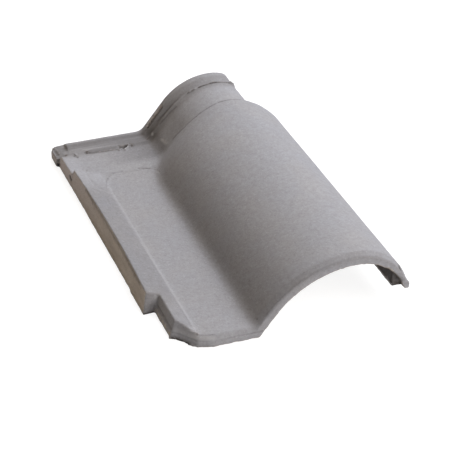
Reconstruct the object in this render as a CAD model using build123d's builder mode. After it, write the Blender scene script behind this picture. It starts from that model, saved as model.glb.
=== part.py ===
from build123d import *
import os
from collections import namedtuple
from math import cos, radians, sin, sqrt, tan

# Interlocking roof tile, pressed and fired as one piece of clay.
# Seen from its tail, the flat pan lies on the left and the hollow roll on the right.
# X runs across the tile, Y from the tail to the head, Z up from the level it lies on.
# Section sizes along X are measured from the foot of the left side wall,
# sizes along Y from the tail, and those named _to_head from the head.

# Overall
length = 410.0
cover_width = 250.5

# Pan, with its shallow panel and the border left of it
pan_top = 12.4
panel_depth = 0.8
panel_left = 35.0
panel_head_to_head = 84.0
panel_corner = 24.0
border_foot = 34.2
valley_radius = 13.0
skin = 3.0
overshoot = 1.0

# Left side: the upstand that the neighbouring tile laps over
upstand_height = 21.5
upstand_lean_ends = 4.6
upstand_lean_middle = 8.0
upstand_foot_ends = -0.9
upstand_foot_middle = 0.8
upstand_tail = 74.0
upstand_tail_slope = 6.0
upstand_tail_foot = 1.5
upstand_tail_knee = 8.0
upstand_head_to_head = 76.0
pan_step_run = 1.0
low_upstand_height = 15.0
low_upstand_rise = 2.5
low_upstand_lean = 2.0
low_upstand_head_to_head = 31.0
end_upstand_height = 11.0
step_wall_foot = 11.2
step_wall_mid = 13.6
step_wall_mid_height = 9.5
step_wall_top = 18.5
side_nib_proud = 2.6
side_nib_to_head = 7.0
side_nib_length = 22.0
side_nib_height = 11.0

# Roll: a wide arc on the left of its crown line and a tighter one on the right
crown_height = 72.3
roll_left_radius = 114.0
roll_right_radius = 62.0
roll_flank = 53.0
roll_edge_angle = 72.0
roll_edge_radius = 4.0
inner_crown_height = 60.6
inner_left_radius = 102.5
inner_right_radius = 57.5
lip_bottom = 21.5

# Neck at the head of the roll, which the next tile's tail laps over
neck_shift = 3.5
neck_crown_height = 70.5
neck_left_radius = 67.0
neck_right_radius = 46.0
neck_flank = 51.5
neck_corner_angle = 28.3
neck_corner_radius = 8.0
neck_steep_flank = 65.0
neck_wall = 10.5
neck_lip_bottom = 23.0

# Shoulder between the roll and the neck. Each station tells how far it lies from the shoulder's foot,
# how much of the way from neck to roll its left and its right side have gone, and how far it stands proud.
shoulder_to_head = 62.0
shoulder_stations = [
    (0.0, -0.08, -0.08, -0.9),
    (3.0, 0.05, 0.45, -1.0),
    (9.0, 0.22, 0.85, -1.0),
    (17.0, 0.42, 1.05, -0.7),
    (26.0, 0.6, 1.1, -0.3),
    (36.0, 0.76, 1.1, 0.1),
    (50.0, 0.9, 1.08, 0.6),
    (84.0, 1.0, 1.05, 2.0),
    (88.0, 1.0, 1.05, 8.0),
]

# Ring and rim round the neck, and the rib and ledges that carry them on over the pan
ring_height = 2.8
ring_corner_angle = 23.4
ring_foot_to_head = 30.0
ring_crest_to_head = 24.0
channel_start_to_head = 22.5
channel_end_to_head = 19.5
rim_height = 4.2
rim_corner_angle = 20.2
rim_crest_to_head = 11.0
rim_flat_to_head = 3.5
rim_edge_drop = 2.6
head_rib_height = 2.0
ledge_height = 1.8
ledge_foot_to_head = 32.5
ledge_crest_to_head = 28.0
ledge_back_to_head = 24.0
short_ledge_start = 9.0
short_ledge_end = 20.0
long_ledge_start = 33.0

# Free edge of the roll
flange_proud = 0.8
flange_height = 7.0
flange_land = 1.0
edge_rib_inset = 18.4
edge_rib_width = 4.0
edge_rib_bottom = 24.3
edge_rib_tail = 4.0
edge_web_length = 6.0
edge_web_inset = 5.5

# Tail
corner_depth = 29.5
corner_turn_x = 19.0
corner_turn_y = 22.7
corner_knee_x = 31.8
corner_knee_y = 4.8
corner_end = 45.0
corner_face_height = 7.0
corner_bevel = 38.0
tail_bevel_pan = 5.0
tail_bevel_pan_run = 3.5
tail_bevel_roll = 3.0
tail_bevel_roll_middle = 1.7
tail_bevel_roll_run = 8.0

# Underside
pocket_depth = 3.5
pocket_tail = 22.0
pocket_to_head = 26.0
pocket_left = 24.0
pocket_valley_gap = 11.0
pocket_corner = 12.0

headward = (0, 1, 0)
wall_x = side_nib_proud / 2 - cover_width / 2
tail_y = -length / 2
panel_top = pan_top - panel_depth

Roll = namedtuple("Roll", "x crown left right flank corner tight steep")


def grown(roll, amount):
    """The same roll with its surface moved outwards by an even amount."""
    return roll._replace(
        crown=roll.crown + amount,
        left=roll.left + amount,
        right=roll.right + amount,
        tight=roll.tight + amount,
    )


def eased(neck, body, share):
    """The roll that lies a share of the way from the neck to the body."""
    return Roll(*(a + (b - a) * share for a, b in zip(neck, body)))


def cross_plane(y):
    """Upright plane across the tile at y, drawn as seen along +Y."""
    return Plane(origin=(wall_x, tail_y + y, 0), x_dir=(1, 0, 0), z_dir=(0, -1, 0))


def flat_plane(z):
    """Level plane at height z, with its origin at the tail end of the side wall."""
    return Plane(origin=(wall_x, tail_y, z), x_dir=(1, 0, 0), z_dir=(0, 0, 1))


def flank_start(roll):
    """Where the left arc of a roll meets its straight flank."""
    angle = radians(roll.flank)
    return (roll.x - roll.left * sin(angle), roll.crown - roll.left + roll.left * cos(angle))


def flank_at(roll, z):
    """How far across the straight left flank of a roll lies at height z."""
    top = flank_start(roll)
    return top[0] - (top[1] - z) / tan(radians(roll.flank))


def roll_arcs(roll):
    """Draws the three arcs over a roll, from its left flank to the foot of its tight right corner."""
    centre_z = roll.crown - roll.right
    reach = roll.right - roll.tight
    corner = (roll.x + reach * sin(radians(roll.corner)), centre_z + reach * cos(radians(roll.corner)))
    first = CenterArc((roll.x, roll.crown - roll.left), roll.left, 90 + roll.flank, -roll.flank)
    CenterArc((roll.x, centre_z), roll.right, 90, -roll.corner)
    last = CenterArc(corner, roll.tight, 90 - roll.corner, roll.corner - roll.steep)
    return first @ 0, last @ 1


def steep_at(roll, corner_foot, z):
    """How far across the steep right flank of a roll lies at height z."""
    return corner_foot.X + (corner_foot.Y - z) / tan(radians(roll.steep))


def filled_section(y, roll, pan, lip):
    """Section of pan and roll at y, filled under the roll."""
    foot = (flank_at(roll, pan), pan)
    with BuildSketch(cross_plane(y)) as sketch:
        with BuildLine():
            start, end = roll_arcs(roll)
            Polyline(
                start,
                foot,
                (step_wall_mid + panel_depth, pan),
                (step_wall_mid, step_wall_mid_height),
                (step_wall_foot, 0),
                (roll.x, 0),
                (roll.x, lip),
                (steep_at(roll, end, lip), lip),
                end,
            )
        make_face()
        fillet(sketch.vertices().sort_by_distance((*foot, 0))[0], radius=valley_radius)
    return sketch.sketch.face()


def open_section(plane, roll):
    """Section of a roll alone, carried down past the level it lies on."""
    below = -skin
    with BuildSketch(plane) as sketch:
        with BuildLine():
            start, end = roll_arcs(roll)
            Polyline(start, (flank_at(roll, below), below), (steep_at(roll, end, below), below), end)
        make_face()
    return sketch.sketch.face()


def panned_section(plane, roll):
    """Section of a roll with the panel of the pan beside it, carried down past the level it lies on."""
    foot = (flank_at(roll, panel_top), panel_top)
    with BuildSketch(plane) as sketch:
        with BuildLine():
            start, end = roll_arcs(roll)
            Polyline(
                start,
                foot,
                (-cover_width, panel_top),
                (-cover_width, -skin),
                (steep_at(roll, end, -skin), -skin),
                end,
            )
        make_face()
        fillet(sketch.vertices().sort_by_distance((*foot, 0))[0], radius=valley_radius)
    return sketch.sketch.face()


def shoulder_form(section, neck, body):
    """Form that eases a roll down to its neck, with a small step where it meets the neck."""
    stations = []
    for back, left_share, right_share, rise in shoulder_stations:
        roll = eased(neck, body, right_share)
        left = eased(neck, body, left_share)
        roll = grown(roll._replace(left=left.left, flank=left.flank), rise)
        stations.append(section(cross_plane(length - shoulder_to_head - back), roll))
    with BuildPart() as form:
        loft(stations, ruled=True)
    return form.part


def upstand_section(y, height, outer_foot, outer_top, inner_foot):
    """Section of the left upstand at y, sloping down to the pan at its inner foot."""
    with BuildSketch(cross_plane(y)) as sketch:
        with BuildLine():
            Polyline(
                (outer_foot, 0),
                (outer_top, height),
                (inner_foot, pan_top),
                (inner_foot, pan_top - skin),
                (step_wall_mid, 0),
                close=True,
            )
        make_face()
    return sketch.sketch.face()


def ledge_section(x):
    """Section along the tile of the low ledge across the pan, at x."""
    with BuildSketch(Plane(origin=(wall_x + x, tail_y, 0), x_dir=(0, 1, 0), z_dir=(1, 0, 0))) as sketch:
        with BuildLine():
            Polyline(
                (length - ledge_foot_to_head, pan_top),
                (length - ledge_crest_to_head, pan_top + ledge_height),
                (length - ledge_back_to_head, pan_top),
                (length - ledge_back_to_head, pan_top - skin),
                (length - ledge_foot_to_head, pan_top - skin),
                close=True,
            )
        make_face()
    return sketch.sketch.face()


edge_reach = (roll_right_radius - roll_edge_radius) * sin(radians(roll_edge_angle)) + roll_edge_radius
crown_x = cover_width - flange_proud - edge_reach
neck_x = crown_x - neck_shift
body_roll = Roll(
    crown_x,
    crown_height,
    roll_left_radius,
    roll_right_radius,
    roll_flank,
    roll_edge_angle,
    roll_edge_radius,
    90,
)
body_hollow = body_roll._replace(crown=inner_crown_height, left=inner_left_radius, right=inner_right_radius)
neck_roll = Roll(
    neck_x,
    neck_crown_height,
    neck_left_radius,
    neck_right_radius,
    neck_flank,
    neck_corner_angle,
    neck_corner_radius,
    neck_steep_flank,
)
neck_hollow = neck_roll._replace(
    crown=neck_crown_height - neck_wall,
    left=neck_left_radius - neck_wall,
    right=neck_right_radius - neck_wall,
)
ring_roll = grown(neck_roll, ring_height)._replace(corner=ring_corner_angle, tight=neck_corner_radius)
rim_roll = grown(neck_roll, rim_height)._replace(corner=rim_corner_angle, tight=neck_corner_radius)
edge_roll = grown(rim_roll, -rim_edge_drop)

shoulder_reach = shoulder_stations[-1][0]
shoulder_start = length - shoulder_to_head - shoulder_reach
upstand_head = length - upstand_head_to_head
low_upstand_head = length - low_upstand_head_to_head
panel_head = length - panel_head_to_head
valley_x = flank_at(body_roll, pan_top)
neck_valley_x = flank_at(neck_roll, pan_top)
border_slope = (upstand_height - pan_top) / (border_foot - upstand_lean_ends)
border_top = upstand_height - border_slope * (step_wall_top - upstand_lean_ends)
edge_rib_x = cover_width - edge_rib_inset
rib_centre_z = inner_crown_height - inner_right_radius
rib_root = rib_centre_z + sqrt(inner_right_radius**2 - (edge_rib_x - crown_x) ** 2) + overshoot
edge_web_end = cover_width - edge_web_inset
edge_web_root = edge_rib_bottom + edge_web_inset
pocket_right = valley_x - pocket_valley_gap

with BuildPart() as roll_end:
    # Head end of the roll, rounded off towards the neck
    extrude(
        filled_section(shoulder_start, body_roll, panel_top, lip_bottom),
        amount=shoulder_reach,
        dir=headward,
    )
    add(shoulder_form(panned_section, neck_roll, body_roll), mode=Mode.INTERSECT)

with BuildPart() as roll_hollow:
    # Hollow under the roll, closing in under the shoulder
    extrude(
        open_section(cross_plane(-skin), body_hollow),
        amount=shoulder_start + skin,
        dir=headward,
    )

with BuildPart() as shoulder_hollow:
    extrude(
        open_section(cross_plane(shoulder_start), body_hollow),
        amount=shoulder_reach,
        dir=headward,
    )
    add(shoulder_form(open_section, neck_hollow, body_hollow), mode=Mode.INTERSECT)

with BuildPart() as roof_tile:
    # Tail bevel and the roll up to the shoulder
    stations = [
        filled_section(0, grown(body_roll, -tail_bevel_roll), panel_top - tail_bevel_pan, lip_bottom),
        filled_section(tail_bevel_pan_run, grown(body_roll, -tail_bevel_roll_middle), panel_top, lip_bottom),
        filled_section(tail_bevel_roll_run, body_roll, panel_top, lip_bottom),
    ]
    loft(stations, ruled=True)
    extrude(stations[-1], amount=shoulder_start - tail_bevel_roll_run, dir=headward)
    add(roll_end.part)

    # Neck with its ring, then the rib and rim at the head
    loft(
        [
            filled_section(shoulder_start, neck_roll, panel_top, neck_lip_bottom),
            filled_section(upstand_head, neck_roll, panel_top, neck_lip_bottom),
            filled_section(upstand_head + pan_step_run, neck_roll, pan_top, neck_lip_bottom),
            filled_section(length - ring_foot_to_head, neck_roll, pan_top, neck_lip_bottom),
            filled_section(length - ring_crest_to_head, ring_roll, pan_top, neck_lip_bottom),
            filled_section(length - channel_start_to_head, neck_roll, pan_top, neck_lip_bottom),
            filled_section(length - channel_end_to_head, neck_roll, pan_top, neck_lip_bottom),
            filled_section(length - rim_crest_to_head, rim_roll, pan_top + head_rib_height, neck_lip_bottom),
            filled_section(length - rim_flat_to_head, rim_roll, pan_top + head_rib_height, neck_lip_bottom),
            filled_section(length, edge_roll, pan_top + head_rib_height - rim_edge_drop, neck_lip_bottom),
        ],
        ruled=True,
    )

    # Left upstand, with its sloping tail end
    loft(
        [
            upstand_section(upstand_tail, upstand_height, upstand_foot_ends, upstand_lean_ends, border_foot),
            upstand_section(
                (upstand_tail + upstand_head) / 2,
                upstand_height,
                upstand_foot_middle,
                upstand_lean_middle,
                border_foot,
            ),
            upstand_section(upstand_head, upstand_height, 0, upstand_lean_ends, border_foot),
        ]
    )
    with BuildSketch(Plane(origin=(wall_x - skin, tail_y, 0), x_dir=(0, 1, 0), z_dir=(1, 0, 0))):
        with BuildLine():
            Polyline(
                (upstand_tail - overshoot, -overshoot),
                (upstand_tail, 0),
                (upstand_tail + upstand_tail_foot, upstand_tail_knee),
                (upstand_tail + upstand_tail_foot + upstand_tail_slope, upstand_height + overshoot),
                (upstand_tail - overshoot, upstand_height + overshoot),
                close=True,
            )
        make_face()
    extrude(amount=step_wall_top + skin, mode=Mode.SUBTRACT)

    # Border of the pan beside the stepped wall
    with BuildSketch(cross_plane(0)):
        with BuildLine():
            Polyline(
                (step_wall_foot, 0),
                (step_wall_mid, step_wall_mid_height),
                (step_wall_mid + panel_depth, step_wall_mid_height),
                (step_wall_top, border_top),
                (border_foot, pan_top),
                (border_foot, pan_top - skin),
                close=True,
            )
        make_face()
    extrude(amount=upstand_tail + upstand_tail_foot + upstand_tail_slope + overshoot, dir=headward)

    # Low stretches of the upstand at the head
    loft(
        [
            upstand_section(
                upstand_head, low_upstand_height + low_upstand_rise, 0, low_upstand_lean, step_wall_top
            ),
            upstand_section(low_upstand_head, low_upstand_height, 0, low_upstand_lean, step_wall_top),
        ],
        ruled=True,
    )
    extrude(
        upstand_section(low_upstand_head, end_upstand_height, 0, low_upstand_lean, step_wall_top),
        amount=low_upstand_head_to_head,
        dir=headward,
    )

    # Nib on the outside of the side wall
    with BuildSketch(flat_plane(0)):
        with BuildLine():
            Polyline(
                (step_wall_foot, length - side_nib_to_head - side_nib_length),
                (-side_nib_proud, length - side_nib_to_head - side_nib_length),
                (-side_nib_proud, length - side_nib_to_head),
                (0, length - side_nib_to_head / 2),
                (step_wall_foot, length - side_nib_to_head / 2),
                close=True,
            )
        make_face()
    extrude(amount=side_nib_height)

    # Raised ground round the head end of the panel
    with BuildSketch(flat_plane(pan_top - skin)):
        with BuildLine():
            Polyline(
                (step_wall_top, panel_head - panel_corner),
                (valley_x, panel_head - panel_corner),
                (neck_valley_x, upstand_head),
                (step_wall_top, upstand_head),
                close=True,
            )
        make_face()
        with BuildLine():
            FilletPolyline(
                (panel_left, 0),
                (panel_left, panel_head),
                (crown_x, panel_head),
                (crown_x, 0),
                radius=panel_corner,
            )
            Line((crown_x, 0), (panel_left, 0))
        make_face(mode=Mode.SUBTRACT)
    extrude(amount=skin)

    # Ledges that carry the neck's ring on over the pan
    extrude(ledge_section(short_ledge_start), amount=short_ledge_end - short_ledge_start)
    extrude(ledge_section(long_ledge_start), amount=neck_valley_x - long_ledge_start)

    # Hollow under roll and neck
    add(roll_hollow.part, mode=Mode.SUBTRACT)
    add(shoulder_hollow.part, mode=Mode.SUBTRACT)
    extrude(
        open_section(cross_plane(shoulder_start), neck_hollow),
        amount=length - shoulder_start + skin,
        dir=headward,
        mode=Mode.SUBTRACT,
    )

    # Drip flange along the free edge of the roll
    with BuildSketch(cross_plane(0)):
        with BuildLine():
            Polyline(
                (cover_width - roll_edge_radius, lip_bottom),
                (cover_width - flange_land, lip_bottom),
                (cover_width, lip_bottom + flange_land),
                (cover_width, lip_bottom + flange_height),
                (cover_width - roll_edge_radius, lip_bottom + flange_height + flange_land),
                close=True,
            )
        make_face()
    extrude(amount=shoulder_start, dir=headward)

    # Rib inside the free edge, and the web that closes its groove at the tail
    with BuildSketch(cross_plane(edge_rib_tail)):
        with BuildLine():
            Polyline(
                (edge_rib_x, edge_rib_bottom),
                (edge_rib_x + edge_rib_width, edge_rib_bottom),
                (edge_rib_x + edge_rib_width, rib_root),
                (edge_rib_x, rib_root),
                close=True,
            )
        make_face()
    extrude(amount=shoulder_start - edge_rib_tail, dir=headward)

    with BuildSketch(cross_plane(edge_rib_tail)):
        with BuildLine():
            Polyline(
                (edge_rib_x + edge_rib_width / 2, edge_rib_bottom),
                (edge_web_end, edge_rib_bottom),
                (edge_web_end, edge_web_root),
                (edge_rib_x + edge_rib_width / 2, rib_root),
                close=True,
            )
        make_face()
    extrude(amount=edge_web_length, dir=headward)

    # Clipped tail corner, square below and bevelled above
    with BuildSketch(flat_plane(corner_face_height)) as corner:
        with BuildLine():
            Polyline(
                (step_wall_foot - skin, corner_depth + skin),
                (step_wall_foot, corner_depth),
                (corner_turn_x, corner_turn_y),
                (corner_knee_x, corner_knee_y),
                (corner_end, 0),
                (corner_end, -skin),
                (step_wall_foot - skin, -skin),
                close=True,
            )
        make_face()
    extrude(corner.sketch, amount=-corner_face_height, mode=Mode.SUBTRACT)
    extrude(
        corner.sketch,
        amount=upstand_height - corner_face_height,
        taper=-corner_bevel,
        mode=Mode.SUBTRACT,
    )

    # Shallow pocket under the pan
    with BuildSketch(flat_plane(0)):
        with BuildLine():
            FilletPolyline(
                (pocket_left, pocket_tail),
                (pocket_right, pocket_tail),
                (pocket_right, length - pocket_to_head),
                (pocket_left, length - pocket_to_head),
                radius=pocket_corner,
                close=True,
            )
        make_face()
    extrude(amount=pocket_depth, mode=Mode.SUBTRACT)

roof_tile.part.label = "roof_tile"
os.makedirs("parts", exist_ok=True)
export_step(roof_tile.part, "parts/roof_tile.step")
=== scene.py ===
from math import cos, sin

import bmesh
import bpy
import numpy as np
from mathutils import Matrix, Vector, noise


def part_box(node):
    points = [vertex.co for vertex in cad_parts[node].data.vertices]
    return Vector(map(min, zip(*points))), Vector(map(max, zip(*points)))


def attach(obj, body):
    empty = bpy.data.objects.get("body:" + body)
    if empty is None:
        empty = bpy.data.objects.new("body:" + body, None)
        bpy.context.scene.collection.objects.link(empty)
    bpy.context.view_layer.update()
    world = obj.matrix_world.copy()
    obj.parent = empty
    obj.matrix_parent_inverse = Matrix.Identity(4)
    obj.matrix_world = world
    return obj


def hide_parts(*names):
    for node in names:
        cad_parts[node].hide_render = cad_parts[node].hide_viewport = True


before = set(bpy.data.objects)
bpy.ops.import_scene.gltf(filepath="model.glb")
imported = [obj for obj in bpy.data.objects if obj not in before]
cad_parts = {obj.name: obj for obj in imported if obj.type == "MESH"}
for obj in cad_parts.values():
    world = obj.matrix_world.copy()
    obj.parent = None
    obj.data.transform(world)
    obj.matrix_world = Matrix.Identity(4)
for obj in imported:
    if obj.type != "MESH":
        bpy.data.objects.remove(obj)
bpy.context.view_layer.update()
MM = 0.001

# Section places are in millimetres: X from the foot of the left side wall, Y from the tail and Z up from
# the base
SIDE_NIB_PROUD = 2.6
tile_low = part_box("roof_tile")[0]
wall_foot = Vector((tile_low.x + SIDE_NIB_PROUD * MM, tile_low.y, 0))

# Camera
CAMERA_PLACE = Vector((-0.5177, -1.4059, 0.9339))
CAMERA_TARGET = Vector((0.0090, -0.0020, 0.0))
CAMERA_ROLL = 0.0067
SENSOR_WIDTH = 36.0
LENS = 133.08
FARTHEST_SEEN = 20.0

# Lamps: direction, size in metres, power in watts and colour
LAMPS = {
    "key": ((0.6, 0.9, 1.0), 1.2, 31, (0.95, 1.0, 1.08)),
    "front": ((0.7, -1.0, 0.8), 1.6, 33, (1.02, 1.0, 0.98)),
    "fill": ((-0.7, 0.9, 1.0), 1.4, 4, (1.4, 1.0, 0.5)),
}
LAMP_DISTANCE = 2.0
SOFT_LIGHT = 0.09
WHITE = (1, 1, 1, 1)

# Floor: its grey as the light meets it, and the grey and the glow that the camera sees
FLOOR_REACH = 3.0
FLOOR_GREY = (0.75, 0.75, 0.75, 1)
FLOOR_SHADED_GREY = (0.35, 0.35, 0.35, 1)
FLOOR_GLOW = 0.86

# Mesh
JOIN_DISTANCE = 0.001 * MM
VOXEL = 1.0 * MM
TRIANGLES = 190000
EDGE_SPREAD = 6
FLAT_LIMIT = 0.004
FLAT_PASSES = 90
EDGE_PASSES = 4
SMOOTHING = 0.5
CORNER_SMOOTHING = 0.5

# Noise in the clay: size of its features in millimetres and seed
BROAD_WAVE = (38, 1)
SMALL_WAVE = (9, 2)
EDGE_WAVE = (7, 3)
EDGE_GRAIN = (2.6, 4)
RAGGED_GRAIN = (2.2, 5)
LOWER_EDGE_WAVE = (6, 6)
BARE_PATCHES = (5, 7)
STAIN_AND_LIGHT_GRAIN = (1.8, 8)

# How sharply the surface turns where wear starts and where it is full, in the shape and in the colour
WORN_SHAPE = (0.01, 0.08)
WORN_COLOUR = (0.015, 0.09)
# How far the stains, painted shade and painted highlights spread past their reach, and how much the pale
# stains and highlights lift the dark stains and shade under them
SPREAD_OF_STAINS_AND_LIGHT = 1.3
PALE_OVER_DARK = 0.8

# Slip
SLIP_COOL = (0.373, 0.368, 0.393)
SLIP_WARM = (0.384, 0.371, 0.382)
SLIP_MOTTLE = (0.300, 0.285, 0.294)
SLIP_SPECKLE = (0.255, 0.242, 0.250)
SLIP_FLECK = (0.49, 0.487, 0.505)
SLIP_HEAD_BAND = (0.21, 0.195, 0.19)
# Colour of the pale stains and of the painted highlights
PALE_STAIN_AND_HIGHLIGHT = (0.62, 0.60, 0.60)
HEAD_BAND_SHARE = 0.55

# Bare clay
CLAY_LIGHT = (0.595, 0.525, 0.457)
CLAY_STREAK = (0.465, 0.402, 0.347)
CLAY_GREY = (0.56, 0.50, 0.488)
CLAY_GRIT = (0.30, 0.22, 0.16)
CLAY_WORN = (0.44, 0.38, 0.33)
# Colour of the dark stains and of the painted shade
DARK_STAIN_AND_SHADE = (0.055, 0.045, 0.04)
STREAK_STRETCH = (1.0, 0.16, 1.0)
SHINE = 0.35

# Bumps too fine for the mesh: strength, depth in millimetres, and size, detail and roughness of the noise
COARSE_BUMP = (0.5, 0.5, (3.2, 4, 0.6))
FINE_BUMP = (0.45, 0.15, (0.8, 2, 0.6))

# Paths that both a mark in the clay and a dark line follow: painted shade along the shoulder crease and the
# neck lines, and in the panel's small pit
SHOULDER_CREASE = [
    (202.3, 342.8, 68.9), (194.4, 343.6, 70.2), (177.3, 343.1, 69.8), (161.3, 340.3, 65.4),
    (147.7, 338.5, 58.3), (134.8, 339.0, 47.4), (129.0, 343.6, 38.1), (124.1, 345.7, 31.9),
]
NECK_LINE_HEAD = [(121, 393, 31), (129.9, 391.8, 40.3), (138, 390.5, 49.1), (146, 389, 57)]
NECK_LINE_TAIL = [(121.2, 384.2, 31.5), (130.5, 382.8, 42.1), (139.6, 381.2, 51.5)]
PANEL_DOT = [(77.3, 328.2, 12.4), (77.6, 328.2, 12.4)]

# Marks in the clay: path, reach and height in millimetres, and how ragged the mark is
MARKS = {
    "rim_chips": ([(128, 400.5, 43.5), (119.3, 400.7, 32.7), (111, 400, 22.5)], 3.8, -1.5, 1.1),
    "rim_chip_edge": ([(126, 403.5, 43.5), (112, 403.5, 25.5)], 2.2, -1.0, 1.1),
    "ring_flash": (
        [(155, 384.6, 64.8), (170, 385, 70.8), (187, 385.5, 73), (209, 385, 68.5)], 1.5, 0.9, 1.1,
    ),
    "ring_end": ([(207.5, 385.5, 69.4), (212.5, 385.5, 65.3)], 4.2, 1.9, 0.4),
    "neck_line_head": (NECK_LINE_HEAD, 1.5, -0.35, 0.3),
    "neck_line_tail": (NECK_LINE_TAIL, 1.6, -0.4, 0.3),
    "shoulder_crease": (SHOULDER_CREASE, 1.6, -0.4, 0.1),
    "rib_channel": ([(10, 398.3, 13.2), (60, 398, 13.6), (103, 396.5, 14.5)], 4.2, -0.9, 0.15),
    "rib_line": ([(30, 388.2, 12.6), (60, 387.6, 12.8), (103, 387, 14.5)], 1.8, 0.45, 0.3),
    "ledge_front": ([(20, 384, 12.5), (60, 381.5, 12.5), (70, 381, 12.6)], 1.5, 0.35, 0.3),
    "left_ledge_end": ([(18.3, 381, 13.4), (20.3, 374, 12.4)], 1.4, -1.1, 0.3),
    "long_ledge_foot": ([(31, 379, 12.4), (45, 377.2, 12.4), (68, 376.2, 12.4)], 1.1, -0.9, 0.3),
    "long_ledge_nick": ([(31.8, 382.5, 13), (34.5, 381.8, 13)], 1.5, -1.2, 0.4),
    "ledge_gap": ([(70.5, 385, 13.5), (71.5, 377, 12.6)], 1.8, -1.4, 0.5),
    "ledge_gap_end": ([(84, 386, 13.5), (85.2, 378, 12.6)], 1.8, -1.5, 0.4),
    "lump_left": ([(69.2, 374.4, 12.4), (72.5, 375.6, 12.4)], 1.6, 1.7, 0.4),
    "lump_right": ([(75.5, 373, 12.4), (80.5, 377.5, 12.6), (82, 380.5, 13.3)], 1.7, 1.8, 0.4),
    "lump_hole": ([(73.8, 378.2, 12.8), (79, 380, 13.2)], 2.0, -2.2, 0.3),
    "ledge_sweep": ([(100, 384.5, 14), (107, 386, 15.5), (112, 386, 20)], 2.5, 0.9, 0.2),
    "panel_dot": (PANEL_DOT, 1.2, -0.9, 0.2),
    "panel_line": (
        [(78, 328, 12.4), (89.3, 324.6, 11.8), (94.2, 318, 12.5), (94.5, 305, 15.7)], 1.0, -0.35, 0.3,
    ),
    "border_hollow": ([(17.3, 332.7, 17.6), (17.3, 318, 17.7), (18, 300, 17.7)], 3.0, -0.5, 0.2),
    "border_hollow_head": ([(14.3, 331, 18.5), (21.1, 343.3, 12.4)], 2.2, -0.5, 0.2),
    "border_line": ([(32.5, 180, 12.9), (33, 90, 12.6), (33, 16, 12.4)], 1.2, 0.3, 0.4),
    "nib_notch": ([(-1.6, 380.6, 1.0), (-0.6, 379.4, 5)], 2.8, -3.2, 0.3),
    "step_hole": ([(1.0, 335.5, 9.5), (1.2, 338, 11)], 2.8, -3.0, 0.3),
    "head_block": ([(0.4, 405, 9), (0.4, 383, 9)], 4.0, -0.5, 1.6),
    "head_knob": ([(0.8, 405.5, 11), (1.8, 404, 11)], 2.6, 1.3, 0.3),
    "head_edge_dip": ([(0.6, 399, 11), (1.4, 390, 11)], 2.6, -1.0, 0.8),
    "tail_nick": ([(33.6, 10.5, 12.3), (34.6, 9.5, 12.3)], 1.5, 1.2, 0.3),
    "tail_ridge": (
        [(14, 28.5, 13), (24, 20, 12.5), (34, 11, 12.4), (49, 6.5, 12.2), (60, 5.5, 12.2)],
        1.4, 0.45, 0.3,
    ),
    "corner_groove": ([(11.2, 29.5, 6.6), (19, 22.7, 6.6), (31.8, 4.8, 6.6), (45, 0, 6.6)], 1.7, -0.9, 0.2),
    "tail_groove": ([(45, 0, 6.6), (108, 0, 6.8)], 1.5, -0.6, 0.3),
    "step_groove": ([(13.2, 72, 9.3), (13.2, 30, 9.3)], 2.0, -1.1, 0.15),
    "step_ridge": ([(14.5, 72, 12.2), (14.5, 31, 12.2)], 1.6, 0.6, 0.3),
    "flange_knob": ([(241.8, 1, 28.5), (243.2, 1, 26)], 3.0, 1.1, 0.4),
}

# Flash under the clipped corner: path and reach, where it fades below the face, push and its way
CORNER_FLASH = ([(12, 29, 0), (19, 21, 0), (28, 10, 0)], 4.5)
FLASH_FADE = (-3.2, -0.6)
FLASH_PUSH = 1.6
FLASH_RAGGED = 1.2
FLASH_WAY = (0.72, 0.69)
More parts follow.
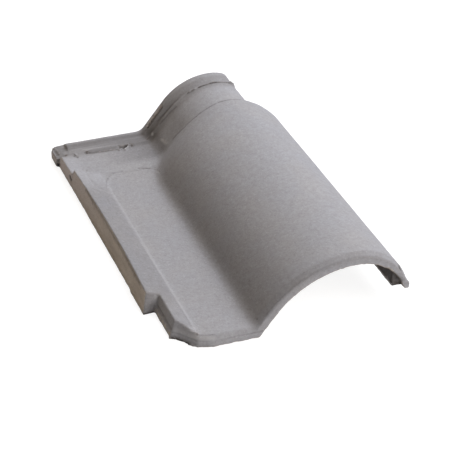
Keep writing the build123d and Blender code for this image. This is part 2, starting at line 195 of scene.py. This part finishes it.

# Dark stains and painted shade: path, reach in millimetres and strength. Most are painted shade, in the
# grooves, creases, holes, notches and pits, along the shoulder crease, the neck lines, the neck's foot and
# the panel's corner, under the ledges, beside the lump, under the corner flash, at the upstand's end, and
# inside the hollow by the groove. The rim chips and the tail speck are dark clay, and the ring's flash, the
# tail lines, the top of the side wall, the head block and edge and the panel line are only drawn darker.
DARK_STAINS_AND_SHADE = {
    "ring_flash_start": ([(155, 384.2, 64.8), (162, 384.2, 68)], 1.2, 0.7),
    "ring_flash": ([(168, 384.4, 70.2), (187, 384.8, 73), (209, 384.6, 68.5)], 1.15, 0.85),
    "rim_chips": ([(128, 399.5, 43), (119, 399.5, 32), (111, 399, 22)], 2.8, 0.9),
    "shoulder_crease": (SHOULDER_CREASE, 1.5, 0.42),
    "neck_line_head": (NECK_LINE_HEAD, 1.4, 0.3),
    "neck_line_tail": (NECK_LINE_TAIL, 1.4, 0.35),
    "neck_foot": ([(110, 385, 16), (120, 387, 30), (128, 388, 40)], 2.5, 0.35),
    "corner_groove": ([(11.2, 29.5, 6.8), (19, 22.7, 6.8), (31.8, 4.8, 6.8), (45, 0, 6.8)], 1.2, 0.75),
    "corner_flash": ([(14, 27, 0), (20, 20.5, 0), (26, 12.5, 0)], 3.4, 1.0),
    "tail_groove": ([(45, 0, 6.8), (108, 0, 7)], 1.1, 0.4),
    "tail_ridge": ([(33.5, 10, 11.8), (38, 7.5, 11.6), (49, 5, 11.6)], 1.0, 0.45),
    "tail_line": ([(31, 31, 12.4), (33, 23, 12.4)], 1.0, 0.2),
    "tail_speck": ([(92.8, 7.1, 17.4), (93.2, 7.1, 17.4)], 1.3, 0.6),
    "step_groove": ([(13.2, 72, 9.5), (13.2, 30, 9.5)], 1.8, 0.8),
    "upstand_end_foot": ([(9.5, 74.5, 1), (6, 74.5, 0.5), (-0.5, 74.5, 0.5)], 2.4, 0.8),
    "groove_foot": ([(233.9, 4, 26.2), (238, 4, 27), (242, 4, 27)], 5.0, 1.0),
    "groove": ([(236, 4, 34), (240, 4, 33)], 7.0, 0.8),
    "side_wall_top": ([(6, 291, 20), (6.2, 265, 19), (6.8, 168.8, 19), (5.2, 98.6, 19.5)], 2.2, 0.42),
    "nib_notch": ([(-1.6, 380.4, 1), (-0.4, 379.4, 4.5)], 2.0, 1.0),
    "step_hole": ([(1.0, 335, 9.5), (1.2, 338.3, 11.3)], 2.9, 1.0),
    "head_block": ([(0.5, 402, 10), (0.5, 384, 10)], 1.2, 0.6),
    "head_edge": ([(15, 408, 13.6), (28, 407, 14.4)], 0.9, 0.5),
    "left_ledge": ([(10, 383, 13.6), (17.5, 381.8, 13.6)], 1.0, 0.5),
    "left_ledge_end": ([(18.3, 380.5, 13.2), (20.3, 374.5, 12.4)], 1.2, 0.6),
    "left_ledge_hook": ([(17.5, 378, 12.8), (20.3, 374.5, 12.4)], 1.6, 0.7),
    "long_ledge": ([(31, 380, 12.6), (45, 378, 12.4), (68, 377, 12.4)], 1.0, 0.45),
    "long_ledge_nick": ([(31.6, 382.2, 12.6), (35, 381.5, 13)], 1.4, 0.6),
    "long_ledge_hook": ([(31.5, 382.4, 12.6), (36, 379.5, 12.6)], 1.5, 0.8),
    "lump_left": ([(70.5, 378, 12.6), (71.3, 375, 12.4)], 1.2, 0.5),
    "lump_hole": ([(73.6, 377.8, 12.6), (79, 380, 13)], 2.0, 1.0),
    "panel_dot": (PANEL_DOT, 1.3, 0.8),
    "panel_line": ([(78, 328, 12.4), (89.3, 324.6, 11.8)], 1.0, 0.35),
    "panel_corner": (
        [
            (31.6, 299.9, 13.3), (35.8, 313.6, 12.6), (42.8, 323.8, 12.6), (50.1, 327.7, 12.4),
            (58.8, 327.4, 12.4),
        ],
        1.0, 0.3,
    ),
}
# Bare patches where the slip is missing: path, reach in millimetres and strength
BARE_STAINS = {
    "rim_chips": ([(128, 402, 44.5), (119.3, 402.5, 33.5), (111, 402, 23.5)], 3.4, 0.8),
    "long_ledge": ([(35, 381, 12.8), (50, 378.3, 12.5), (66, 377.4, 12.4)], 1.5, 0.45),
    "tail_ridge": ([(35.5, 8.7, 11.6), (42.3, 5.2, 11.6), (49.8, 3.6, 11.6)], 1.3, 0.5),
    "panel_line": ([(89.3, 324.6, 11.8), (94.2, 318, 12.5), (94.5, 305, 15.7)], 1.2, 0.4),
    "tail_lower_edge": ([(225, 0, 50), (229, 0, 47), (238.8, 1.5, 34), (243, 0.5, 26)], 1.8, 0.9),
    "step_foot": ([(12.3, 72, 4), (12.3, 30, 4)], 4.5, 0.55),
    "shoulder": ([(187, 344, 71), (194, 345.5, 70.5)], 1.6, 0.25),
    "head_block": ([(5, 404, 11), (5, 384, 11)], 2.2, 0.35),
}
# Pale stains and painted highlights: path, reach in millimetres and strength. The fold line on the border,
# the rib's ridge line and crest, the inner rib's lower edge and the tops of the lump are painted highlights;
# the valley dot and smears are pale smears, and the rim chips, the corner bevel and the step ridge are only
# drawn paler.
PALE_STAINS_AND_HIGHLIGHTS = {
    "valley_dot": ([(111.5, 384, 19.3), (112.2, 384.4, 20.3)], 1.5, 1.0),
    "valley_smear": ([(115.9, 366, 22), (116.8, 361, 23)], 1.8, 0.8),
    "valley_smear_tail": ([(117, 362, 22.9), (117.6, 349, 23.6)], 2.0, 0.55),
    "border_line": ([(32.5, 180, 13), (33, 90, 12.7), (33, 16, 12.4)], 1.0, 0.16),
    "corner_bevel": ([(16, 26.5, 10), (25.5, 13.5, 10), (35.5, 6, 10), (46, 2, 10)], 3.2, 0.3),
    "rim_chip_high": ([(121, 403.5, 35), (124, 403.5, 39)], 1.4, 0.8),
    "rim_chip_low": ([(112, 404, 24.5), (118, 404, 31)], 1.5, 0.8),
    "step_ridge": ([(14.6, 71, 12.6), (14.6, 31, 12.6)], 0.9, 0.3),
    "inner_rib_edge": ([(232.1, 40, 27.0), (232.1, 5, 27.0)], 1.4, 1.0),
    "rib_line": ([(30, 388.2, 13), (60, 387.6, 13.2), (103, 387, 15)], 1.3, 0.22),
    "rib_crest": ([(12.6, 408, 12.2), (32.4, 406.5, 14.6), (55, 406.5, 14.6)], 1.3, 0.25),
    "lump_right": ([(75.5, 373, 13.4), (80.5, 377.5, 13.9)], 1.3, 0.7),
    "lump_left": ([(69.2, 374.4, 13.2), (72.5, 375.6, 13.4)], 1.0, 0.5),
}


def make_camera():
    """Camera at the photograph's view, with its small roll."""
    data = bpy.data.cameras.new("camera")
    data.sensor_width = SENSOR_WIDTH
    data.lens = LENS
    data.clip_end = FARTHEST_SEEN
    camera = bpy.data.objects.new("camera", data)
    forward = (CAMERA_TARGET - CAMERA_PLACE).normalized()
    right = forward.cross(Vector((0, 0, 1))).normalized()
    up = right.cross(forward)
    rolled_right = right * cos(CAMERA_ROLL) + up * sin(CAMERA_ROLL)
    rolled_up = up * cos(CAMERA_ROLL) - right * sin(CAMERA_ROLL)
    turn = Matrix((rolled_right, rolled_up, -forward)).transposed()
    camera.matrix_world = Matrix.Translation(CAMERA_PLACE) @ turn.to_4x4()
    bpy.context.scene.collection.objects.link(camera)
    bpy.context.scene.camera = camera


def make_lamp(name, direction, size, power, colour):
    """Soft square lamp that looks at the middle of the tile from a direction."""
    data = bpy.data.lights.new(name, "AREA")
    data.shape = "SQUARE"
    data.size = size
    data.energy = power
    data.color = colour
    lamp = bpy.data.objects.new(name, data)
    lamp.location = Vector(direction).normalized() * LAMP_DISTANCE
    lamp.rotation_euler = (-lamp.location).to_track_quat("-Z", "Y").to_euler()
    bpy.context.scene.collection.objects.link(lamp)


def make_world():
    """World that lights softly and that the camera sees as white."""
    world = bpy.data.worlds.new("studio")
    bpy.context.scene.world = world
    world.use_nodes = True
    nodes, links = world.node_tree.nodes, world.node_tree.links
    nodes.clear()
    path = nodes.new("ShaderNodeLightPath")
    seen = nodes.new("ShaderNodeBackground")
    seen.inputs["Color"].default_value = WHITE
    seen.inputs["Strength"].default_value = 1
    soft = nodes.new("ShaderNodeBackground")
    soft.inputs["Color"].default_value = WHITE
    soft.inputs["Strength"].default_value = SOFT_LIGHT
    mix = nodes.new("ShaderNodeMixShader")
    output = nodes.new("ShaderNodeOutputWorld")
    links.new(path.outputs["Is Camera Ray"], mix.inputs["Fac"])
    links.new(soft.outputs["Background"], mix.inputs[1])
    links.new(seen.outputs["Background"], mix.inputs[2])
    links.new(mix.outputs["Shader"], output.inputs["Surface"])


def make_floor():
    """Pale floor that keeps the tile's shadow."""
    mesh = bpy.data.meshes.new("floor")
    r = FLOOR_REACH
    mesh.from_pydata([(-r, -r, 0), (r, -r, 0), (r, r, 0), (-r, r, 0)], [], [(0, 1, 2, 3)])
    floor = bpy.data.objects.new("floor", mesh)
    bpy.context.scene.collection.objects.link(floor)
    material = bpy.data.materials.new("pale_floor")
    material.use_nodes = True
    nodes, links = material.node_tree.nodes, material.node_tree.links
    nodes.clear()
    path = nodes.new("ShaderNodeLightPath")
    matt = nodes.new("ShaderNodeBsdfDiffuse")
    matt.inputs["Color"].default_value = FLOOR_GREY
    pale = nodes.new("ShaderNodeBsdfDiffuse")
    pale.inputs["Color"].default_value = FLOOR_SHADED_GREY
    glow = nodes.new("ShaderNodeEmission")
    glow.inputs["Color"].default_value = WHITE
    glow.inputs["Strength"].default_value = FLOOR_GLOW
    seen = nodes.new("ShaderNodeAddShader")
    mix = nodes.new("ShaderNodeMixShader")
    output = nodes.new("ShaderNodeOutputMaterial")
    links.new(pale.outputs["BSDF"], seen.inputs[0])
    links.new(glow.outputs["Emission"], seen.inputs[1])
    links.new(path.outputs["Is Camera Ray"], mix.inputs["Fac"])
    links.new(matt.outputs["BSDF"], mix.inputs[1])
    links.new(seen.outputs["Shader"], mix.inputs[2])
    links.new(mix.outputs["Shader"], output.inputs["Surface"])
    mesh.materials.append(material)


def bake(tile):
    """Applies the modifiers of the tile to its mesh."""
    graph = bpy.context.evaluated_depsgraph_get()
    done = bpy.data.meshes.new_from_object(tile.evaluated_get(graph))
    tile.modifiers.clear()
    tile.data = done


def places_of(mesh):
    """Section places of a mesh's points, in millimetres."""
    flat = np.empty(len(mesh.vertices) * 3)
    mesh.vertices.foreach_get("co", flat)
    return (flat.reshape(-1, 3) - np.array(wall_foot)) / MM


def put_places(mesh, places):
    """Moves a mesh's points to section places."""
    mesh.vertices.foreach_set("co", (places * MM + np.array(wall_foot)).ravel())
    mesh.update()


def normals_of(mesh):
    """Normals at a mesh's points."""
    flat = np.empty(len(mesh.vertices) * 3)
    mesh.vertices.foreach_get("normal", flat)
    return flat.reshape(-1, 3)


class Neighbours:
    """Averages over the points that a mesh's edges join."""

    def __init__(self, mesh):
        pairs = np.empty(len(mesh.edges) * 2, dtype=np.int64)
        mesh.edges.foreach_get("vertices", pairs)
        pairs = pairs.reshape(-1, 2)
        self.here = np.concatenate([pairs[:, 0], pairs[:, 1]])
        self.there = np.concatenate([pairs[:, 1], pairs[:, 0]])
        self.count = len(mesh.vertices)
        self.joined = np.maximum(np.bincount(self.here, minlength=self.count), 1)

    def mean(self, values):
        """Mean of the values at each point's neighbours."""
        columns = [
            np.bincount(self.here, weights=values[self.there, k], minlength=self.count) / self.joined
            for k in range(values.shape[1])
        ]
        return np.stack(columns, axis=1)


def edge_share(mesh, joined):
    """How sharply the surface turns round each point, from 0 on flat ground."""
    turned = normals_of(mesh)
    for _ in range(EDGE_SPREAD):
        turned = 0.5 * (turned + joined.mean(turned))
    return 1 - np.linalg.norm(turned, axis=1)


def clay_noise(places, size, seed):
    """Smooth noise between about -1 and 1 with features of a size in millimetres."""
    shift = Vector((seed * 17.3, seed * 7.1, seed * 3.7))
    return np.array([noise.noise(Vector(p) / size + shift) for p in places])


def nearness(places, path, reach):
    """1 on a path, falling smoothly to 0 at its reach."""
    points = np.array(path, dtype=float)
    away = np.full(len(places), 1e9)
    for start, end in zip(points[:-1], points[1:]):
        run = end - start
        share = np.clip(((places - start) @ run) / (run @ run), 0, 1)
        away = np.minimum(away, np.linalg.norm(places - (start + share[:, None] * run), axis=1))
    share = np.clip(1 - away / reach, 0, 1)
    return share * share * (3 - 2 * share)


def ramp(values, start, end):
    """Smooth step from 0 at start to 1 at end."""
    share = np.clip((values - start) / (end - start), 0, 1)
    return share * share * (3 - 2 * share)


def between(values, low, high, soft):
    """1 between two limits, falling smoothly to 0 over a soft width outside them."""
    return ramp(values, low - soft, low) * ramp(-values, -high - soft, -high)


def tile_mesh():
    """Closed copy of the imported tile, remeshed finely so that its edges round off as pressed clay's do."""
    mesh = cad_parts["roof_tile"].data.copy()
    shell = bmesh.new()
    shell.from_mesh(mesh)
    bmesh.ops.remove_doubles(shell, verts=shell.verts, dist=JOIN_DISTANCE)
    shell.to_mesh(mesh)
    shell.free()
    tile = bpy.data.objects.new("clay_tile", mesh)
    bpy.context.scene.collection.objects.link(tile)
    remesh = tile.modifiers.new("remesh", "REMESH")
    remesh.mode = "VOXEL"
    remesh.voxel_size = VOXEL
    bake(tile)
    return tile


def ease(mesh, joined):
    """Smooths the broad surfaces and the shoulder's left fold well, and the edges a little."""
    places = places_of(mesh)
    x, y, z = places.T
    flat = 1 - ramp(edge_share(mesh, joined), FLAT_LIMIT / 2, FLAT_LIMIT)

    # The fold left of the shoulder, and the turns of the clipped corner
    fold = between(x, 98, 140, 12) * between(y, 285, 348, 14) * between(z, 14, 60, 4)
    corner = CORNER_SMOOTHING * between(x, 15, 50, 5) * between(y, -2, 26, 4) * between(z, 1.5, 11, 1.5)
    flat = np.maximum(flat, np.maximum(fold, corner))

    for step in range(FLAT_PASSES):
        weight = 1.0 if step < EDGE_PASSES else flat[:, None]
        places += SMOOTHING * weight * (joined.mean(places) - places)
    put_places(mesh, places)


def weather(mesh, joined):
    """Presses the marks of making and handling into the clay."""
    places = places_of(mesh)
    out = normals_of(mesh)
    edge = ramp(edge_share(mesh, joined), *WORN_SHAPE)
    move = 0.16 * clay_noise(places, *BROAD_WAVE) + 0.05 * clay_noise(places, *SMALL_WAVE)
    move += edge * (0.3 * clay_noise(places, *EDGE_WAVE) + 0.15 * clay_noise(places, *EDGE_GRAIN) - 0.1)
    ragged = clay_noise(places, *RAGGED_GRAIN)
    for path, reach, height, rough in MARKS.values():
        move += height * nearness(places, path, reach) * (1 + rough * ragged)
    places += out * move[:, None]

    # Ragged flash under the clipped corner, and the wavy lower edge of the tail
    flash = nearness(places, *CORNER_FLASH) * ramp(-places[:, 2], *FLASH_FADE)
    push = flash * (FLASH_PUSH + FLASH_RAGGED * ragged)
    places[:, 0] -= FLASH_WAY[0] * push
    places[:, 1] -= FLASH_WAY[1] * push
    lower_edge = ramp(-places[:, 2], -3, -0.5) * ramp(-places[:, 1], -6, -1)
    places[:, 2] += lower_edge * (0.5 + 0.7 * clay_noise(places, *LOWER_EDGE_WAVE))
    places[:, 2] = np.maximum(places[:, 2], 0)
    put_places(mesh, places)


def thin_out(tile):
    """Drops the points that the shape doesn't need."""
    thin = tile.modifiers.new("thin", "DECIMATE")
    thin.ratio = min(1.0, TRIANGLES / (2 * len(tile.data.polygons)))
    bake(tile)


def broad_shades(places, out):
    """Strength and share of the shade over each darker area."""
    x, y, z = places.T
    faces_up = ramp(out[:, 2], 0.4, 0.7)
    faces_in = np.maximum(ramp(-out[:, 2], 0.0, 0.3), ramp(-out[:, 0], 0.3, 0.6))
    pan_level = ramp(-z, -26, -20)
    roll_level = ramp(z, 16, 26) * ramp(out[:, 2], -0.1, 0.1)
    return {
        "border": (0.28, between(x, 5, 30, 5) * between(y, 62, 270, 60) * ramp(y, 58, 64) * faces_up),
        "border_tail": (0.20, between(x, 14, 32, 3) * between(y, 24, 60, 5) * faces_up),
        "pan_head": (0.32, ramp(x, 30, 95) * between(y, 352, 392, 14) * pan_level),
        "rib_channel": (0.30, between(y, 394.5, 401.5, 2) * between(x, 9, 106, 3) * pan_level),
        "ledge_channel": (0.26, between(y, 377, 385, 2) * between(x, 40, 106, 10) * pan_level),
        "upstand_end": (0.30, ramp(-out[:, 1], 0.5, 0.8) * between(y, 72, 84, 2) * between(x, -2, 12, 2)),
        "head_block": (0.26, between(x, -4, 7, 2) * between(y, 379, 412, 2)),
        "tail_bevel": (0.12, ramp(-y, -9, -7) * roll_level),
        "tail_edge": (0.24, ramp(-y, -3, -1.8) * roll_level),
        "left_flank": (0.09, ramp(-out[:, 0], 0.4, 0.7) * between(x, 96, 150, 6) * between(y, 5, 335, 20)),
        "free_edge": (0.75, between(x, 224, 242, 3) * between(z, 22, 52, 3) * ramp(-y, -120, -50) * faces_in),
        "groove_web": (0.85, between(x, 232, 240.5, 1.5) * between(y, 2, 7, 1.5) * between(z, 22, 46, 2)),
    }


def store(mesh, name, red, green, blue):
    """Stores three shares from 0 to 1 at each point of a mesh."""
    values = np.stack([red, green, blue, np.ones(len(mesh.vertices))], axis=1)
    colour = mesh.color_attributes.new(name, "FLOAT_COLOR", "POINT")
    colour.data.foreach_set("color", np.clip(values, 0, 1).ravel())


def paint_stains_shade_highlights(mesh):
    """Stores how bare and edge-worn the surface is at each point, how dark from dark stains and painted
    shade, and how pale from pale stains and painted highlights.
    """
    places = places_of(mesh)
    out = normals_of(mesh)
    patchy = clay_noise(places, *BARE_PATCHES)
    grain = clay_noise(places, *STAIN_AND_LIGHT_GRAIN)
    edge = ramp(edge_share(mesh, Neighbours(mesh)), *WORN_COLOUR)

    # The slip covers the top and the ends. The outer side wall and the underside are bare.
    outside = ramp(-out[:, 0], 0.55, 0.85) * ramp(-places[:, 0], -14, -9)
    under = ramp(-out[:, 2], 0.15, 0.5)
    bare = np.maximum(outside * (0.9 + 0.25 * patchy), under)
    dark_and_shade = np.zeros(len(places))
    pale = np.zeros(len(places))
    # Bare patches, dark stains with painted shade, and pale stains with painted highlights, along their paths
    for found, stains_and_painted_light in ((bare, BARE_STAINS), (dark_and_shade, DARK_STAINS_AND_SHADE), (pale, PALE_STAINS_AND_HIGHLIGHTS)):
        for path, reach, strength in stains_and_painted_light.values():
            spot = strength * nearness(places, path, reach * SPREAD_OF_STAINS_AND_LIGHT) * (1.1 + 0.5 * grain)
            np.maximum(found, spot, out=found)
    # Painted shade over the broad darker areas
    for strength, share in broad_shades(places, out).values():
        np.maximum(dark_and_shade, strength * share, out=dark_and_shade)
    dark_and_shade *= 1 - PALE_OVER_DARK * np.clip(pale, 0, 1)

    head_band = ramp(places[:, 1], 371, 381) * (1 - 0.55 * ramp(places[:, 2], 24, 40))
    grey_wall = ramp(places[:, 1], 150, 400)
    store(mesh, "stains_and_painted_light", bare, dark_and_shade, pale)
    store(mesh, "zones", edge, head_band, grey_wall)


class Graph:
    """Short ways to add nodes to a material."""

    def __init__(self, material):
        self.nodes = material.node_tree.nodes
        self.links = material.node_tree.links
        self.coordinates = self.nodes.new("ShaderNodeTexCoord").outputs["Object"]

    def noise(self, size, detail=3.0, roughness=0.5, stretch=None):
        """Noise with features of a size in millimetres."""
        node = self.nodes.new("ShaderNodeTexNoise")
        node.inputs["Scale"].default_value = 1 / (size * MM)
        node.inputs["Detail"].default_value = detail
        node.inputs["Roughness"].default_value = roughness
        source = self.coordinates
        if stretch:
            mapping = self.nodes.new("ShaderNodeMapping")
            mapping.inputs["Scale"].default_value = stretch
            self.links.new(source, mapping.inputs["Vector"])
            source = mapping.outputs["Vector"]
        self.links.new(source, node.inputs["Vector"])
        return node.outputs["Fac"]

    def mapped(self, value, low, high, to_low=0.0, to_high=1.0):
        """Value taken from one range to another."""
        node = self.nodes.new("ShaderNodeMapRange")
        node.inputs["From Min"].default_value = low
        node.inputs["From Max"].default_value = high
        node.inputs["To Min"].default_value = to_low
        node.inputs["To Max"].default_value = to_high
        self.links.new(value, node.inputs["Value"])
        return node.outputs["Result"]

    def maths(self, operation, first, second):
        """One sum on two values."""
        node = self.nodes.new("ShaderNodeMath")
        node.operation = operation
        for socket, value in zip(node.inputs, (first, second)):
            if isinstance(value, (int, float)):
                socket.default_value = value
            else:
                self.links.new(value, socket)
        return node.outputs["Value"]

    def blended(self, share, first, second):
        """Two colours mixed by a share."""
        node = self.nodes.new("ShaderNodeMix")
        node.data_type = "RGBA"
        self.links.new(share, node.inputs["Factor"])
        for name, colour in (("A", first), ("B", second)):
            socket = next(s for s in node.inputs if s.name == name and s.type == "RGBA")
            if isinstance(colour, tuple):
                socket.default_value = (*colour, 1)
            else:
                self.links.new(colour, socket)
        return next(s for s in node.outputs if s.type == "RGBA")

    def attribute(self, name):
        """The three parts of a stored colour."""
        node = self.nodes.new("ShaderNodeVertexColor")
        node.layer_name = name
        parts = self.nodes.new("ShaderNodeSeparateColor")
        self.links.new(node.outputs["Color"], parts.inputs["Color"])
        return parts.outputs["Red"], parts.outputs["Green"], parts.outputs["Blue"]

    def bump(self, strength, depth, grain):
        """Bump of a depth in millimetres, from noise."""
        node = self.nodes.new("ShaderNodeBump")
        node.inputs["Strength"].default_value = strength
        node.inputs["Distance"].default_value = depth * MM
        self.links.new(self.noise(*grain), node.inputs["Height"])
        return node


def clay_material():
    """Grey slip over fired clay, bare and brown where the slip is missing."""
    material = bpy.data.materials.new("fired_clay_slip")
    material.use_nodes = True
    graph = Graph(material)
    shader = graph.nodes["Principled BSDF"]
    bare, dark_and_shade, pale = graph.attribute("stains_and_painted_light")
    edge, head_band, grey_wall = graph.attribute("zones")

    # Slip: broad warm and cool patches, mottle, fine speckle and pale flecks
    patches = graph.mapped(graph.noise(45, 2), 0.35, 0.65)
    slip = graph.blended(patches, SLIP_COOL, SLIP_WARM)
    mottle = graph.mapped(graph.noise(6, 4, 0.6), 0.33, 0.67, 0.0, 0.5)
    slip = graph.blended(mottle, slip, SLIP_MOTTLE)
    speckle = graph.mapped(graph.noise(2.4, 3, 0.65), 0.5, 0.7, 0.0, 0.5)
    slip = graph.blended(speckle, slip, SLIP_SPECKLE)
    flecks = graph.mapped(graph.noise(1.9, 2, 0.5), 0.58, 0.72, 0.0, 0.5)
    slip = graph.blended(flecks, slip, SLIP_FLECK)
    slip = graph.blended(graph.maths("MULTIPLY", head_band, HEAD_BAND_SHARE), slip, SLIP_HEAD_BAND)

    # Bare clay: beige with long streaks, greyer towards the head, with dark grit
    streaks = graph.mapped(graph.noise(7, 4, 0.6, STREAK_STRETCH), 0.35, 0.65)
    clay = graph.blended(streaks, CLAY_LIGHT, CLAY_STREAK)
    clay = graph.blended(grey_wall, clay, CLAY_GREY)
    grit = graph.mapped(graph.noise(1.6, 3, 0.6), 0.5, 0.75, 0.0, 0.5)
    clay = graph.blended(grit, clay, CLAY_GRIT)

    # Slip and clay meet raggedly, edges are worn, and the pale stains with painted highlights and the dark
    # stains with painted shade lie over both
    ragged = graph.maths("ADD", bare, graph.mapped(graph.noise(2.5, 3), 0.3, 0.7, -0.25, 0.25))
    colour = graph.blended(graph.mapped(ragged, 0.35, 0.65), slip, clay)
    worn = graph.maths("MULTIPLY", edge, graph.mapped(graph.noise(3.5, 3), 0.45, 0.7, 0.0, 0.35))
    colour = graph.blended(worn, colour, CLAY_WORN)
    colour = graph.blended(pale, colour, PALE_STAIN_AND_HIGHLIGHT)
    colour = graph.blended(dark_and_shade, colour, DARK_STAIN_AND_SHADE)
    graph.links.new(colour, shader.inputs["Base Color"])

    roughness = graph.mapped(graph.noise(4, 3), 0.3, 0.7, 0.62, 0.8)
    graph.links.new(roughness, shader.inputs["Roughness"])
    shader.inputs["Specular IOR Level"].default_value = SHINE

    coarse = graph.bump(*COARSE_BUMP)
    fine = graph.bump(*FINE_BUMP)
    graph.links.new(coarse.outputs["Normal"], fine.inputs["Normal"])
    graph.links.new(fine.outputs["Normal"], shader.inputs["Normal"])
    return material


make_camera()
make_world()
for lamp_name, lamp_values in LAMPS.items():
    make_lamp(lamp_name, *lamp_values)
make_floor()

tile = tile_mesh()
joined = Neighbours(tile.data)
ease(tile.data, joined)
weather(tile.data, joined)
thin_out(tile)
paint_stains_shade_highlights(tile.data)
tile.data.materials.clear()
tile.data.materials.append(clay_material())
tile.data.shade_smooth()
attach(tile, "root")
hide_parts("roof_tile")

bpy.context.scene.view_settings.view_transform = "Standard"
